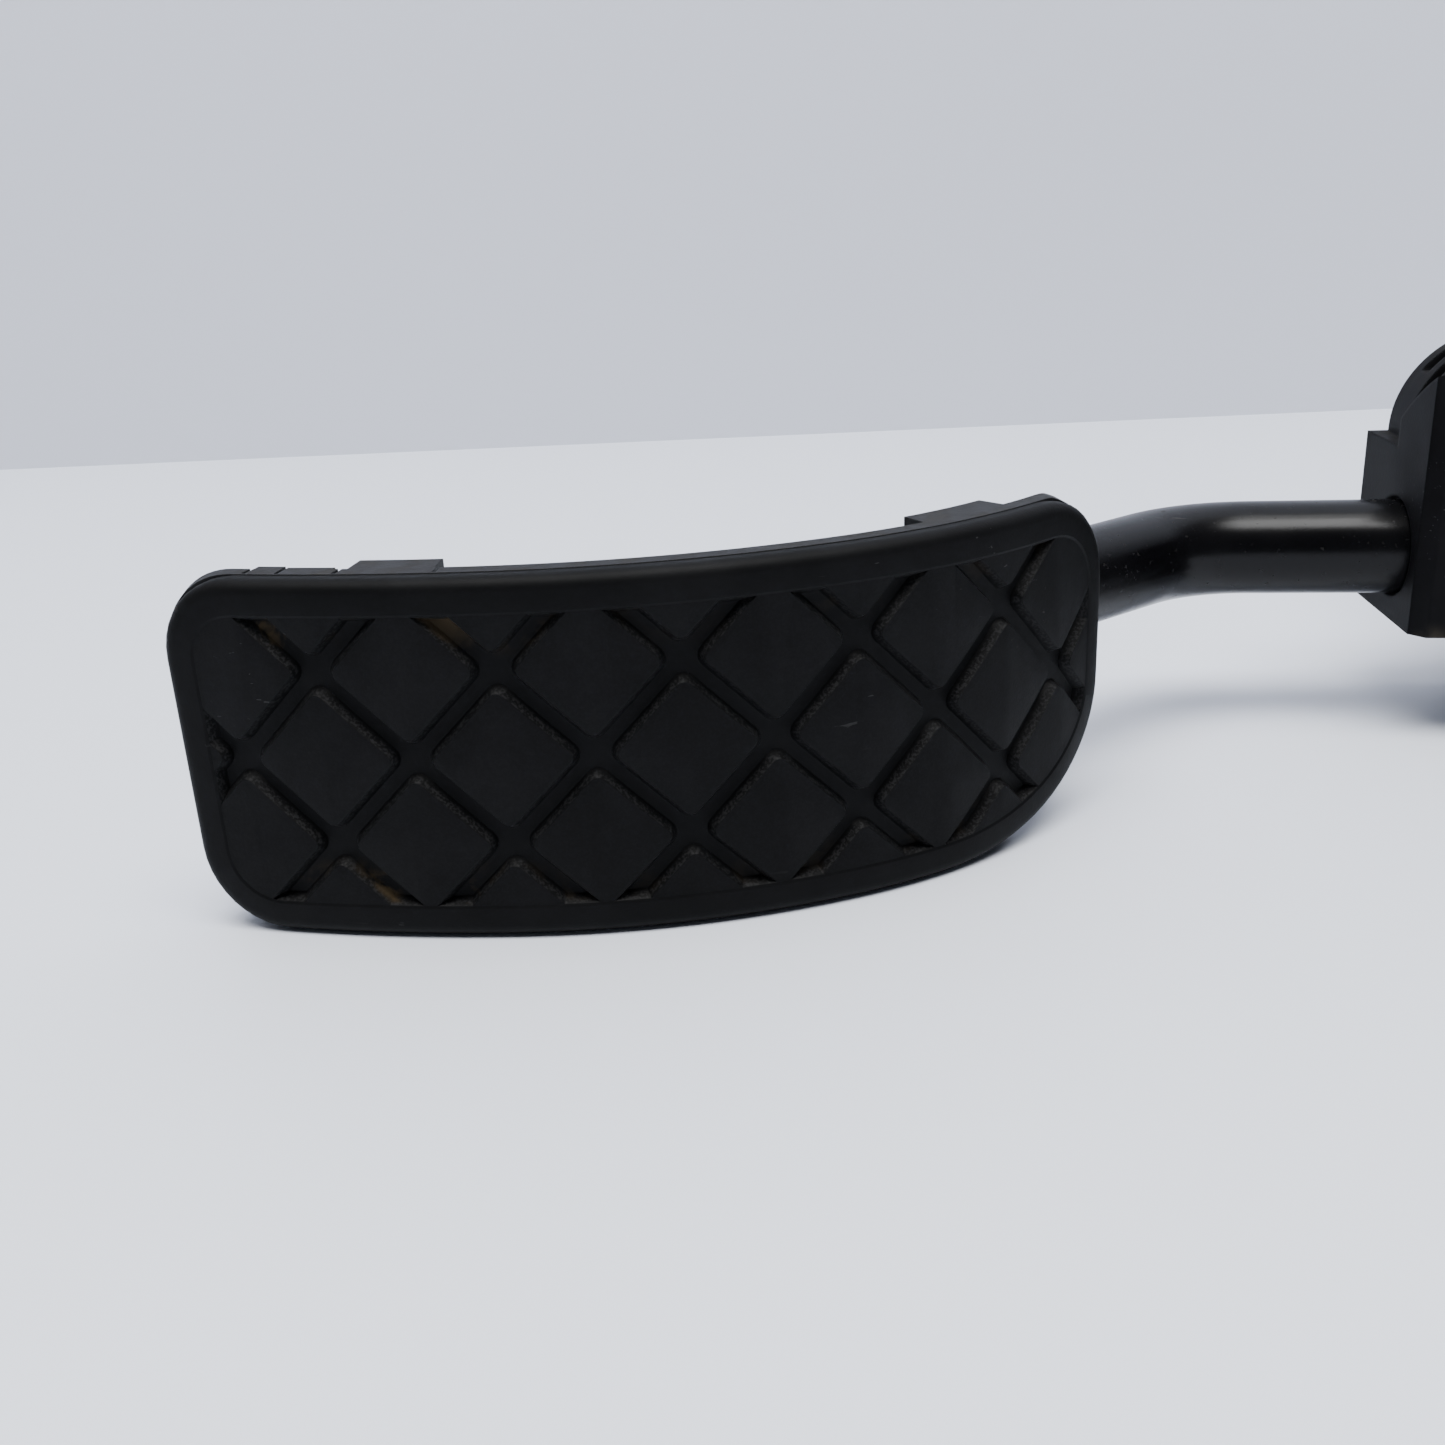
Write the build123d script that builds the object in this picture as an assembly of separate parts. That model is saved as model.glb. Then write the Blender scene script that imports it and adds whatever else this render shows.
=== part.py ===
from build123d import *
import os
from math import cos, radians, sin, tan

# Sprung pedal module: a curved tread pad on a bent tube arm, a moulded hub on a pivot shaft,
# and a bolted housing with return springs and a contactless angle sensor.
# Origin on the mounting face, midway between the two upper bolts and level with the hub's middle.
# Millimetres. +Y into the mounting wall, -X towards the pad, +Z along the pivot shaft.

# Pad: the tread's groove floor is the reference surface, three tangent arcs seen along Z.
PAD_AT = (-212.0, -100.0, -17.4)
RADIUS_TIP = 195.0
RADIUS_MID = 116.5
RADIUS_ARM = 84.5
MID_HALF = 24.0
PAD_TIP = -69.5
PAD_END = 72.6
PAD_HALF_WIDTH = 25.4
# Reach along and across the pad of each rounded corner: tip low, arm low, arm top, tip top.
PAD_CORNERS = [(12.0, 12.0), (35.5, 21.5), (15.0, 15.0), (11.0, 11.0)]

# Pad layers, measured behind the groove floor.
TREAD_TOP = -1.8
RUBBER_BACK = 1.4
PLATE_BACK = 3.3
SKIRT_BACK = 4.2
LUG_BACK = 8.6
RIB_BACK = 7.4
SKIRT_WALL = 2.4
# Narrow gaps moulded through the skirt beside the lugs, and the lugs on both long edges: arc
# lengths of their ends and depth of their backs.
SKIRT_GAPS = [-57.6, -52.9, -44.9, -31.4]
GAP_WIDTH = 0.55
LUGS = [(-57, -53, 5.4), (-52.4, -45.6, 4.9), (-43.6, -31.7, LUG_BACK), (37.4, 53.4, LUG_BACK)]
TREAD_BORDER = 4.6
TREAD_PITCH = 24.0
TREAD_SHIFT = 0.65
GROOVE_WIDTH = 3.0
EDGE_ROUND = 1.2
STUD_R = 2.4
STUD_HEAD_R = 3.6
STUD_PLACES = [(-52, 14), (-52, -14), (-14, 15), (-14, -15), (57, 12), (57, -12)]

# Arm tube and the line it shares with the hub.
TUBE_R = 8.0
TUBE_WALL = 1.5
TUBE_Z = -12.0
PIVOT = (-28.6, -70.7)
ARM_ANGLE = -18.0
LEG_ANGLE = 28.0
PIVOT_TO_BEND = 92.0
LEG_LENGTH = 86.0
BEND_RADIUS = 26.0
TUBE_IN_HUB = 30.0
SOCKET_LENGTH = 36.0
SOCKET_HALF = 11.0

# Hub: u runs along the arm from the pivot, v across it.
HUB_REACH = 57.0
HUB_FRONT = -13.4
HUB_BACK = 17.8
HUB_SLANT = 0.08
HUB_LOW = -24.4
HUB_CHAMFER = 2.2
FIN_HIGH = 22.5
FIN_CORNER = 17.4
FIN_SET_BACK = 2.0
FIN_SLOTS = [(4.2, 8.0, 10.0), (10.8, 14.4, 15.6)]
FIN_V = 2.6
STEP_HIGH = 4.8
BARREL_HIGH = 23.2
BARREL_R = 15.0
CRANK_X = (-35.0, -27.0)
CRANK_TIP_Y = -24.0
CRANK_HALF = 12.0
NOSE_AT = (-26.0, -30.0)
NOSE_R = 5.0

# Shaft, bushes and sensor rotor.
SHAFT_R = 5.0
SHAFT_LOW = -30.0
SHAFT_HIGH = 30.6
BUSH_R = 7.5
RUNNING = 0.05
ROTOR_R = 8.0
ROTOR_HIGH = -28.9
MAGNET_LOW = -32.0
MAGNET_THICK = 1.8

# Housing.
WALL = 3.0
BODY_LOW = -28.6
BODY_HIGH = 24.4
CHEEK_LOW = -25.5
CHAMBER_LOW = -39.4
SEAL = 0.6
BASE_Z = -43.0
LID_HIGH = 28.4
HOOD_R = 22.0
BODY_BACK = -6.0
BODY_RIGHT = 28.0
MOUTH_RIGHT = -34.0
MOUTH_BACK = -32.0
BODY_LEFT = -33.0
WAIST_X = -48.0
WAIST_Y = -34.0
BOLT_PLACES = [(-26.0, 34.5), (26.0, 34.5), (37.0, -14.0)]
EAR_R = 8.0
SLEEVE_R = 5.0
BOLT_HOLE_R = 3.3

# Fastenings of the lid and the sensor cover.
SCREW_R = 1.5
SCREW_HEAD_R = 3.0
COVER_SINK = 1.8
BOSS_R = 3.6
SCREW_PLACES = [(-9.0, -76.0), (-34.0, -16.0), (-4.0, -10.5), (23.5, -10.5), (23.5, -44.0)]
POST_PLACES = [(-12.0, -62.0), (-30.0, -36.0), (12.0, -14.0), (14.0, -44.0)]

# Sensor electronics and connector.
BOARD_LOW = -35.6
BOARD_HIGH = -34.0
PLUG_Y = -27.0
PLUG_HALF_Y = 11.0
PLUG_REACH = 20.0
PIN_COUNT = 6
PIN_PITCH = 2.54

# Springs and stops.
FULL_TRAVEL = 15.0
STOP_GAP = 0.1
SPRING_Y = NOSE_AT[1]
CUP_FACE = -17.5
SPRING_END = BODY_RIGHT - WALL


def along(s):
    """Point and slope (radians) of the reference surface at arc length s from its middle."""
    turn = max(-MID_HALF, min(MID_HALF, s)) / RADIUS_MID
    x = RADIUS_MID * sin(turn)
    y = RADIUS_MID * (1 - cos(turn))
    rest = s - max(-MID_HALF, min(MID_HALF, s))
    radius = RADIUS_ARM if s > 0 else RADIUS_TIP
    end = turn + rest / radius
    x += radius * (sin(end) - sin(turn))
    y += radius * (cos(turn) - cos(end))
    return x, y, end


def behind(s, t):
    """Point t millimetres behind the reference surface at arc length s."""
    x, y, turn = along(s)
    return x - t * sin(turn), y + t * cos(turn)


def layer(s0, s1, t0, t1, z0, z1):
    """Curved slab between two depths, two arc lengths and two heights."""
    stops = [s0] + [b for b in (-MID_HALF, MID_HALF) if s0 < b < s1] + [s1]
    spans = list(zip(stops, stops[1:]))
    edges = []
    for t in (t0, t1):
        for a, b in spans:
            edges.append(ThreePointArc(behind(a, t), behind((a + b) / 2, t), behind(b, t)))
    for s in (s0, s1):
        edges.append(Line(behind(s, t0), behind(s, t1)))
    face = make_face(Wire.combine(edges)[0].edges())
    return Pos(0, 0, z0) * extrude(face, amount=z1 - z0, dir=(0, 0, 1))


def pad_outline(inset):
    """Prism through the pad's outline, drawn in by inset, along Y."""
    ways = [(-1, -1), (1, -1), (1, 1), (-1, 1)]
    corners = []
    for (side, up), (reach_s, reach_z) in zip(ways, PAD_CORNERS):
        s = (PAD_END if side > 0 else PAD_TIP) - side * reach_s
        z = up * (PAD_HALF_WIDTH - reach_z)
        start = 90 * ways.index((side, up)) + 180
        turns = [radians(start + 15 * i) for i in range(7)]
        points = [(along(s + (reach_s - inset) * cos(a))[0], z + (reach_z - inset) * sin(a))
                  for a in turns]
        ends = [(-sin(a), cos(a)) for a in (turns[0], turns[-1])]
        corners.append(Spline(*points, tangents=ends))
    edges = []
    for corner, following in zip(corners, corners[1:] + corners[:1]):
        edges += [corner, Line(corner @ 1, following @ 0)]
    return extrude(Plane.XZ * make_face(edges), amount=120, both=True)


def place_pad(shape):
    return Pos(*PAD_AT) * shape


def studs(radius, t0, t1):
    """Round pegs through the pad's layers at the retaining places."""
    pegs = []
    for s, z in STUD_PLACES:
        x, y, turn = along(s)
        aim = Plane(origin=(x, y, z), z_dir=(-sin(turn), cos(turn), 0))
        pegs.append(aim * Pos(0, 0, (t0 + t1) / 2) * Cylinder(radius, t1 - t0))
    return pegs


def tread_grooves():
    """Crossing grooves, 45 degrees to the pad's length, that stop short of its edge."""
    skin = layer(PAD_TIP, PAD_END, TREAD_TOP - 1, 0, -PAD_HALF_WIDTH, PAD_HALF_WIDTH)
    skin = skin & pad_outline(TREAD_BORDER)
    slabs = []
    for i in range(-4, 5):
        for way in (-45, 45):
            x = along(i * TREAD_PITCH + TREAD_PITCH / 2)[0]
            slabs.append(Pos(x, 0, TREAD_SHIFT) * Rot(0, way, 0) * Box(90, 120, GROOVE_WIDTH))
    return skin & (Part() + slabs)


def rubber_pad():
    blank = layer(PAD_TIP - 6, PAD_END + 6, TREAD_TOP, RUBBER_BACK, -30, 30) & pad_outline(0)
    rim = blank.edges().filter_by(lambda e: e.center().Y < along_front(e.center().X) + 0.4)
    blank = fillet(rim, EDGE_ROUND)
    blank = blank - tread_grooves()
    blank = blank + studs(STUD_R, RUBBER_BACK - 0.5, PLATE_BACK)
    blank = blank + studs(STUD_HEAD_R, PLATE_BACK, PLATE_BACK + 2)
    return place_pad(blank)


def along_front(x):
    """Y of the tread's outer face at a given X, by bisection on the arc length."""
    low, high = -90.0, 95.0
    for _ in range(40):
        middle = (low + high) / 2
        if behind(middle, TREAD_TOP)[0] < x:
            low = middle
        else:
            high = middle
    return behind(low, TREAD_TOP)[1]


def leg_frame():
    """Plane at the tube's pad end: local Z runs up the leg towards the bend."""
    bend = arm_point(-PIVOT_TO_BEND, 0)
    turn = radians(LEG_ANGLE)
    x = bend[0] - LEG_LENGTH * cos(turn)
    y = bend[1] - LEG_LENGTH * sin(turn)
    return Plane(origin=(x, y, TUBE_Z), x_dir=(0, 0, 1), z_dir=(cos(turn), sin(turn), 0))


def arm_point(u, v):
    """Point in the row frame, u along the arm line from the pivot and v behind it."""
    turn = radians(ARM_ANGLE)
    x = PIVOT[0] + u * cos(turn) - v * sin(turn)
    y = PIVOT[1] + u * sin(turn) + v * cos(turn)
    return x, y


def tube_path():
    leg = leg_frame().origin
    bend = arm_point(-PIVOT_TO_BEND, 0)
    end = arm_point(TUBE_IN_HUB - HUB_REACH, 0)
    return FilletPolyline((leg.X, leg.Y, TUBE_Z), (*bend, TUBE_Z), (*end, TUBE_Z), radius=BEND_RADIUS)


def tube_core(radius):
    path = tube_path()
    section = Plane(origin=path @ 0, z_dir=path % 0) * Circle(radius)
    return sweep(section, path=path)


def hub_pin_hole():
    x, y = arm_point(14 - HUB_REACH, 0)
    return Pos(x, y, -11) * Cylinder(2.0, 25.4)


def socket_pin_hole():
    return leg_frame() * Pos(0, 0, 22) * Rot(0, 90, 0) * Cylinder(2.0, 2 * SOCKET_HALF)


def arm_tube():
    return tube_core(TUBE_R) - tube_core(TUBE_R - TUBE_WALL) - hub_pin_hole() - socket_pin_hole()


def tube_plug():
    """Push-in end cap that closes the tube behind the pad."""
    bore = TUBE_R - TUBE_WALL
    plug = Pos(0, 0, 3) * Cylinder(bore, 6) - Pos(0, 0, 4.5) * Cylinder(bore - 1.5, 3)
    return leg_frame() * (plug + Pos(0, 0, -1) * Cylinder(TUBE_R, 2))


def pad_carrier():
    """Moulded tray behind the rubber: plate, skirt, edge lugs, ribs and the tube socket."""
    reach = (PAD_TIP - 6, PAD_END + 6)
    tray = layer(*reach, RUBBER_BACK, SKIRT_BACK, -30, 30) & pad_outline(0)
    hollow = layer(*reach, PLATE_BACK, SKIRT_BACK + 1, -30, 30) & pad_outline(SKIRT_WALL)
    tray = tray - hollow
    inner = PAD_HALF_WIDTH - SKIRT_WALL
    for s0, s1, back in LUGS:
        tray = tray + layer(s0, s1, PLATE_BACK - 0.5, back, inner, PAD_HALF_WIDTH)
        tray = tray + layer(s0, s1, PLATE_BACK - 0.5, back, -PAD_HALF_WIDTH, -inner)
    for s in SKIRT_GAPS:
        tray = tray - layer(s, s + GAP_WIDTH, RUBBER_BACK + 0.4, LUG_BACK + 1, inner + 1.2, 30)
    ribs = Part()
    for z in (-9.0, 9.0):
        ribs = ribs + layer(PAD_TIP + 2, 14, PLATE_BACK - 0.5, RIB_BACK, z - 0.9, z + 0.9)
    for s in (-60, -40, -25, -4, 66):
        ribs = ribs + layer(s - 0.9, s + 0.9, PLATE_BACK - 0.5, RIB_BACK, -inner, inner)
    tray = tray + (ribs & pad_outline(1))
    tray = place_pad(tray) + tube_socket()
    holes = [place_pad(peg) for peg in studs(STUD_R, 0, PLATE_BACK)]
    heads = [place_pad(peg) for peg in studs(STUD_HEAD_R + 0.4, PLATE_BACK, RIB_BACK + 4)]
    return tray - holes - heads


def tube_socket():
    """Boxed sleeve on the tray's back that the tube is pushed into and pinned."""
    depth = 26.0
    block = Box(2 * SOCKET_HALF, depth, SOCKET_LENGTH + 4)
    block = leg_frame() * Pos(0, SOCKET_HALF - depth / 2, SOCKET_LENGTH / 2 - 2) * block
    block = fillet(block.edges().filter_by(lambda e: e.length > SOCKET_LENGTH), 2)
    front = place_pad(layer(PAD_TIP - 30, PAD_END + 30, -70, RUBBER_BACK + 0.6, -60, 60))
    bore = leg_frame() * Pos(0, 0, 50) * Cylinder(TUBE_R, 104)
    slot = leg_frame() * Pos(0, SOCKET_HALF, SOCKET_LENGTH) * Box(3, 2 * SOCKET_HALF, 12)
    return block - front - bore - slot - socket_pin_hole()


def socket_pin():
    return socket_pin_hole() - leg_frame() * Pos(0, 0, 22) * Rot(0, 90, 0) * Cylinder(1.1, 60)


def hub_pin():
    x, y = arm_point(14 - HUB_REACH, 0)
    return hub_pin_hole() - Pos(x, y, 0) * Cylinder(1.1, 60)


def hub_slab(points, z0, z1):
    """Prism over (u, v) points in the arm's own directions."""
    face = make_face(Polyline(*[arm_point(u, v) for u, v in points], close=True))
    return Pos(0, 0, z0) * extrude(face, amount=z1 - z0, dir=(0, 0, 1))


def hub_fins():
    """Back half of the hub: upper outer corner rounded, two slots that leave three fins."""
    start = FIN_SET_BACK - HUB_REACH
    rise = FIN_HIGH - FIN_CORNER
    face = make_face([
        Line((start, HUB_LOW), (start, rise)),
        RadiusArc((start, rise), (start + FIN_CORNER, FIN_HIGH), FIN_CORNER),
        Polyline((start + FIN_CORNER, FIN_HIGH), (0, FIN_HIGH), (0, HUB_LOW), (start, HUB_LOW)),
    ])
    turn = radians(ARM_ANGLE)
    side = Plane(origin=(*PIVOT, 0), x_dir=(cos(turn), sin(turn), 0), z_dir=(sin(turn), -cos(turn), 0))
    fins = extrude(side * Pos(0, 0, -HUB_BACK) * face, amount=HUB_BACK - FIN_V)
    for v0, v1, floor in FIN_SLOTS:
        fins = fins - hub_slab([(-56, v0), (-56, v1), (-20, v1), (-20, v0)], floor, 60)
    return fins


def hub_front():
    """Front half of the hub: a bar along the arm whose top falls away towards the fins."""
    face = make_face([
        ThreePointArc((FIN_V, 9.5), (-4.5, 14.6), (HUB_FRONT, 19.0)),
        Polyline((HUB_FRONT, 19.0), (HUB_FRONT, HUB_LOW), (FIN_V, HUB_LOW), (FIN_V, 9.5)),
    ])
    turn = radians(ARM_ANGLE)
    end = Plane(origin=(*arm_point(-HUB_REACH - 3, 0), 0), x_dir=(-sin(turn), cos(turn), 0),
                z_dir=(cos(turn), sin(turn), 0))
    return extrude(end * face, amount=HUB_REACH + 3)


def arm_hub():
    """Moulded lever: holds the tube, turns with the shaft and pushes the springs."""
    end = -HUB_REACH - 3
    ledge = [(end, FIN_V - 0.5), (end, HUB_BACK), (-40, HUB_BACK), (-40, FIN_V - 0.5)]
    body = hub_front() + hub_fins() + hub_slab(ledge, HUB_LOW, STEP_HIGH)
    near = (-HUB_REACH - HUB_SLANT * (HUB_FRONT - 2), HUB_FRONT - 2)
    far = (-HUB_REACH - HUB_SLANT * (HUB_BACK + 2), HUB_BACK + 2)
    body = body - hub_slab([near, far, (-90, HUB_BACK + 2), (-90, HUB_FRONT - 2)], -60, 60)
    corner = -HUB_REACH - HUB_SLANT * HUB_FRONT
    chamfer_cut = [(corner + HUB_CHAMFER, HUB_FRONT - 1), (corner + HUB_CHAMFER, HUB_FRONT),
                   (corner, HUB_FRONT + HUB_CHAMFER), (corner - 2, HUB_FRONT + HUB_CHAMFER),
                   (corner - 2, HUB_FRONT - 1)]
    body = body - hub_slab(chamfer_cut, -60, 60)
    for u0, u1 in ((-50, -36), (-34, -20)):
        body = body - hub_slab([(u0, -8), (u0, 14.5), (u1, 14.5), (u1, -8)], -60, -22)
    barrel = Pos(*PIVOT, (HUB_LOW + BARREL_HIGH) / 2) * Cylinder(BARREL_R, BARREL_HIGH - HUB_LOW)
    crank_mid = ((CRANK_X[0] + CRANK_X[1]) / 2, (PIVOT[1] + CRANK_TIP_Y) / 2, 0)
    crank = Pos(*crank_mid) * Box(CRANK_X[1] - CRANK_X[0], CRANK_TIP_Y - PIVOT[1], 2 * CRANK_HALF)
    neck = Pos(NOSE_AT[0] - 1.5, NOSE_AT[1], 0) * Box(4, 2 * NOSE_R - 3, 2 * CRANK_HALF - 4)
    nose = Pos(*NOSE_AT, 0) * Cylinder(NOSE_R, 2 * CRANK_HALF - 4)
    nose = nose - Pos(CRANK_X[0] - 10, NOSE_AT[1], 0) * Box(20, 30, 60)
    body = body + barrel + crank + neck + nose
    bore = Pos(*PIVOT, 0) * Cylinder(SHAFT_R, 80)
    return body - bore - tube_core(TUBE_R) - hub_pin_hole() - pad_side_bore()


def pad_side_bore():
    """Lead-in at the mouth of the hub's tube bore."""
    x, y = arm_point(-HUB_REACH, 0)
    turn = radians(ARM_ANGLE)
    mouth = Plane(origin=(x, y, TUBE_Z), z_dir=(cos(turn), sin(turn), 0))
    lead_in = Pos(0, 0, -0.5) * Cone(TUBE_R + 1.4, TUBE_R + 0.3, 3.4)
    return mouth * (Pos(0, 0, -3) * Cylinder(TUBE_R + 0.35, 8) + lead_in)


def pivot_shaft():
    low = Pos(*PIVOT, (SHAFT_LOW + SHAFT_HIGH) / 2) * Cylinder(SHAFT_R, SHAFT_HIGH - SHAFT_LOW)
    groove = Pos(*PIVOT, LID_HIGH + 1.0) * (Cylinder(SHAFT_R + 1, 0.8) - Cylinder(SHAFT_R - 0.6, 0.8))
    return chamfer((low - groove).faces().sort_by(Axis.Z)[-1].edges(), 0.5)


def retaining_ring():
    ring = Cylinder(SHAFT_R + 1.8, 0.7) - Cylinder(SHAFT_R - 0.6, 0.7) - Pos(-6, 0, 0) * Box(8, 3, 2)
    return Pos(*PIVOT, LID_HIGH + 1.0) * ring


def magnet_holder():
    """Cup pressed on the shaft's lower end, with the magnet let into its underside."""
    cup = Pos(*PIVOT, (MAGNET_LOW + ROTOR_HIGH) / 2) * Cylinder(ROTOR_R, ROTOR_HIGH - MAGNET_LOW)
    return cup - Pos(*PIVOT, SHAFT_LOW + 5) * Cylinder(SHAFT_R, 10) - magnet()


def magnet():
    return Pos(*PIVOT, MAGNET_LOW + MAGNET_THICK / 2) * Cylinder(SHAFT_R, MAGNET_THICK)


def bush(z0, z1, flange_z, flange_t):
    sleeve = Pos(*PIVOT, (z0 + z1) / 2) * Cylinder(BUSH_R, z1 - z0)
    collar = Pos(*PIVOT, flange_z) * Cylinder(BUSH_R + 2, flange_t)
    return sleeve + collar - Pos(*PIVOT, 0) * Cylinder(SHAFT_R + RUNNING, 90)


def friction_washer(z):
    return Pos(*PIVOT, z) * (Cylinder(14, 0.5) - Cylinder(BUSH_R + 2.4, 0.5))


def body_outline(inset):
    """Plan view of the housing: a round hood about the pivot run into a square back."""
    hood = Pos(*PIVOT) * Circle(HOOD_R)
    corners = [(WAIST_X, WAIST_Y), (BODY_LEFT, BODY_BACK), (BODY_RIGHT, BODY_BACK), (BODY_RIGHT, -50)]
    outline = make_hull(hood.edges() + Polyline(*corners, close=True).edges())
    return offset(outline, amount=-inset, kind=Kind.INTERSECTION) if inset else outline


def walls(inset, z0, z1):
    return Pos(0, 0, z0) * extrude(body_outline(inset), amount=z1 - z0, dir=(0, 0, 1))


def at_places(shape, z):
    return [Pos(x, y, z) * shape for x, y in SCREW_PLACES]


def housing_body():
    """Moulded box: lower cheek, walls round the crank, sensor chamber below and bolting flange."""
    shell = walls(0, CHAMBER_LOW, BODY_HIGH) - walls(WALL, CHEEK_LOW, BODY_HIGH + 1)
    shell = shell - walls(WALL, CHAMBER_LOW - 1, BODY_LOW)
    boss_high = Cylinder(BOSS_R, BODY_HIGH - CHEEK_LOW, align=(Align.CENTER, Align.CENTER, Align.MIN))
    boss_low = Cylinder(BOSS_R, BODY_LOW - CHAMBER_LOW, align=(Align.CENTER, Align.CENTER, Align.MIN))
    bosses = at_places(boss_high, CHEEK_LOW) + at_places(boss_low, CHAMBER_LOW)
    shell = shell + [boss & walls(0.3, CHAMBER_LOW, BODY_HIGH) for boss in bosses]
    mouth = Box(40, 100, BODY_HIGH - CHEEK_LOW + 2, align=(Align.MAX, Align.MAX, Align.MIN))
    shell = shell - Pos(MOUTH_RIGHT, MOUTH_BACK, CHEEK_LOW) * mouth
    shell = shell + flange() + gussets()
    seat = Pos(SPRING_END - 2.5, SPRING_Y, 0) * Rot(0, 90, 0) * Cylinder(4.0, 5)
    shell = shell + seat + plug_shell()
    shell = shell - Pos(*PIVOT, -26) * Cylinder(BUSH_R, 12)
    shell = shell - at_bolts(Cylinder(SLEEVE_R, -3 * BODY_BACK))
    drill = Cylinder(SCREW_R, 12)
    shell = shell - at_places(drill, BODY_HIGH) - at_places(drill, CHAMBER_LOW)
    return shell - pin_slots()


def at_bolts(shape):
    """Copies of a Z-aligned shape turned along Y at the mounting holes."""
    return [Pos(x, BODY_BACK / 2, z) * Rot(90, 0, 0) * shape for x, z in BOLT_PLACES]


def flange():
    """Plate on the mounting wall: three ears joined to the housing's back."""
    ears = [edge for x, z in BOLT_PLACES for edge in (Pos(x, z) * Circle(EAR_R)).edges()]
    left, right = BODY_LEFT + 1, BODY_RIGHT
    back = Polyline((left, CHAMBER_LOW), (left, 26), (right, 26), (right, CHAMBER_LOW), close=True)
    return extrude(Plane.XZ * make_hull(ears + back.edges()), amount=-BODY_BACK)


def gussets():
    """Stiffening webs between the right wall and the flange."""
    web = make_face(Polyline((BODY_RIGHT - 1, BODY_BACK - 24), (BODY_RIGHT - 1, -1), (36, -1), close=True))
    return [Pos(0, 0, z) * extrude(web, amount=1.2, both=True) for z in (-3.0, 8.0, 19.0)]


def plug_shell():
    """Connector shroud on the chamber's side, open towards +X."""
    height = BODY_LOW - CHAMBER_LOW
    mid = (BODY_LOW + CHAMBER_LOW) / 2
    shroud = Pos(BODY_RIGHT + PLUG_REACH / 2 - 1, PLUG_Y, mid) * Box(PLUG_REACH + 2, 2 * PLUG_HALF_Y, height)
    shroud = fillet(shroud.edges().filter_by(Axis.X), 2.5)
    socket = Box(PLUG_REACH + 1, 2 * PLUG_HALF_Y - 3.2, height - 3.2)
    key = Pos(BODY_RIGHT + 8, PLUG_Y, BODY_LOW + 0.6) * Box(12, 6, 1.6)
    return shroud - Pos(BODY_RIGHT + PLUG_REACH / 2 + 1.5, PLUG_Y, mid) * socket + key


def pin_bars(width, height, x0, x1):
    start = -(PIN_COUNT - 1) / 2
    spots = [PLUG_Y + (start + i) * PIN_PITCH for i in range(PIN_COUNT)]
    return [Pos((x0 + x1) / 2, y, BOARD_HIGH + 0.35) * Box(x1 - x0, width, height) for y in spots]


def pin_slots():
    return pin_bars(1.2, 0.7, BODY_RIGHT - WALL - 1, BODY_RIGHT + 4)


def connector_pins():
    return pin_bars(1.2, 0.7, BODY_RIGHT - WALL - 5, BODY_RIGHT + 13)


def sensor_board():
    board = walls(WALL + 0.6, BOARD_LOW, BOARD_HIGH)
    return board - at_places(Cylinder(BOSS_R + 0.5, 60), CHAMBER_LOW)


def hall_sensors():
    main = Pos(*PIVOT, BOARD_HIGH + 0.45) * Box(5, 4, 0.9)
    chips = [Pos(x, y, BOARD_HIGH + 0.6) * Box(6, 4, 1.2) for x, y in ((-4, -50), (6, -50), (-8, -30))]
    return [main] + chips


def sensor_cover():
    """Bottom cover: plate, locating rim inside the chamber, board posts and sunk screw holes."""
    top = CHAMBER_LOW - SEAL
    plate = walls(0, BASE_Z, top) + (walls(WALL + 0.4, top, top + 2) - walls(WALL + 1.8, top, top + 2))
    plate = plate - at_places(Cylinder(BOSS_R + 0.4, 6), top + 3)
    post = Cylinder(2.0, BOARD_LOW - top + 0.5, align=(Align.CENTER, Align.CENTER, Align.MIN))
    plate = plate + [Pos(x, y, top - 0.5) * post for x, y in POST_PLACES]
    plate = plate - at_places(Cylinder(SCREW_R, 20), BASE_Z)
    return plate - at_places(Cylinder(SCREW_HEAD_R + 0.2, 2 * COVER_SINK), BASE_Z)


def sensor_seal():
    """Flat rubber ring between the cover and the chamber's wall, outside the screws."""
    low = CHAMBER_LOW - SEAL
    return walls(0.5, low, CHAMBER_LOW) - walls(1.3, low, CHAMBER_LOW)


def housing_lid():
    """Upper cheek: carries the upper bush and closes the spring space."""
    lid = walls(0, BODY_HIGH, LID_HIGH)
    rim = lid.faces().sort_by(Axis.Z)[-1].edges()
    lid = fillet(rim, 1.2)
    for x in (-12, -2, 8):
        lid = lid - Pos(x, -34, LID_HIGH) * Box(6, 34, 3)
    lid = lid - Pos(*PIVOT, BODY_HIGH) * Cylinder(BUSH_R, 12)
    return lid - at_places(Cylinder(SCREW_R, 20), BODY_HIGH)


def screw(length, head_height):
    """Pan-head screw, head up, underside of the head at Z = 0."""
    head = Cylinder(SCREW_HEAD_R, head_height, align=(Align.CENTER, Align.CENTER, Align.MIN))
    head = fillet(head.faces().sort_by(Axis.Z)[-1].edges(), 0.6)
    shank = Cylinder(SCREW_R, length, align=(Align.CENTER, Align.CENTER, Align.MAX))
    slots = Pos(0, 0, head_height) * (Box(3.4, 0.8, 2) + Box(0.8, 3.4, 2))
    return head + shank - slots


def lid_screws():
    return at_places(screw(9, 2.0), LID_HIGH)


def cover_screws():
    return at_places(Rot(180, 0, 0) * screw(7, 1.6), BASE_Z + COVER_SINK)


def mount_sleeves():
    return at_bolts(Cylinder(SLEEVE_R, -BODY_BACK) - Cylinder(BOLT_HOLE_R, 20))


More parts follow.
